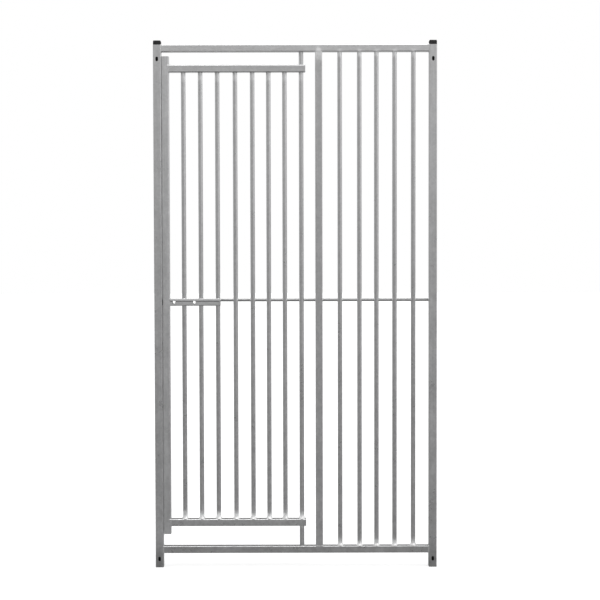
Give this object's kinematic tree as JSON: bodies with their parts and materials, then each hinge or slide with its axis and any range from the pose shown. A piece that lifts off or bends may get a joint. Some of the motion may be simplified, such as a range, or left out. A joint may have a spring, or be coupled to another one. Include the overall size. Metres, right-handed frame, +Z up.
{
  "type": "barred pen panel with door",
  "caption": "Galvanised steel pen front panel: square posts and rails, upright round bars, a level mid rod, and a barred door that turns on its own hinge bar and shuts with a sliding bolt.",
  "frame": {"origin": "on the ground, midway between the posts, in the middle plane of the tubes; the door is shut and the bolt is drawn back", "axes": "+Z up along the posts; X along the panel's width, +X towards the fixed bars; the front looks along -Y"},
  "size_m": [1, 0.046, 1.865],
  "materials": {
    "post_zinc": "hot-dip galvanised, satin, faint spangle and vertical runs",
    "tube_zinc": "hot-dip galvanised, satin, faint spangle",
    "bar_zinc": "hot-dip galvanised, satin, streaked along the bar",
    "rod_zinc": "hot-dip galvanised, duller",
    "latch_zinc": "hot-dip galvanised, satin",
    "bolt_zinc": "zinc, rubbed where it slides",
    "cap_plastic": "black moulded plastic, satin"
  },
  "bodies": {
    "frame": {"left_post": "post_zinc", "right_post": "post_zinc", "left_post_cap": "cap_plastic", "right_post_cap": "cap_plastic", "top_rail": "tube_zinc", "bottom_rail": "tube_zinc", "mullion": "tube_zinc", "fixed_bar_1": "bar_zinc", "fixed_bar_2": "bar_zinc", "fixed_bar_3": "bar_zinc", "fixed_bar_4": "bar_zinc", "fixed_bar_5": "bar_zinc", "frame_mid_rod": "rod_zinc"},
    "door": {"door_stile": "tube_zinc", "door_top_rail": "tube_zinc", "door_bottom_rail": "tube_zinc", "hinge_bar": "bar_zinc", "door_bar_1_upper": "bar_zinc", "door_bar_1_lower": "bar_zinc", "door_bar_2_upper": "bar_zinc", "door_bar_2_lower": "bar_zinc", "door_bar_3_upper": "bar_zinc", "door_bar_3_lower": "bar_zinc", "door_bar_4": "bar_zinc", "door_bar_5": "bar_zinc", "door_bar_6": "bar_zinc", "door_bar_7": "bar_zinc", "door_mid_rod": "rod_zinc", "latch_housing": "latch_zinc", "latch_end_plate": "latch_zinc"},
    "bolt": {"latch_bolt": "bolt_zinc", "bolt_handle": "bolt_zinc"}
  },
  "joints": [
    {"name": "door_swing", "type": "hinge", "parent": "frame", "child": "door", "pos_m": [0.021, 0, 0], "axis": [0, 0, 1], "range_deg": [-115, 115]},
    {"name": "bolt_slide", "type": "slide", "parent": "door", "child": "bolt", "axis": [-1, 0, 0], "range_m": [0, 0.0725]}
  ]
}
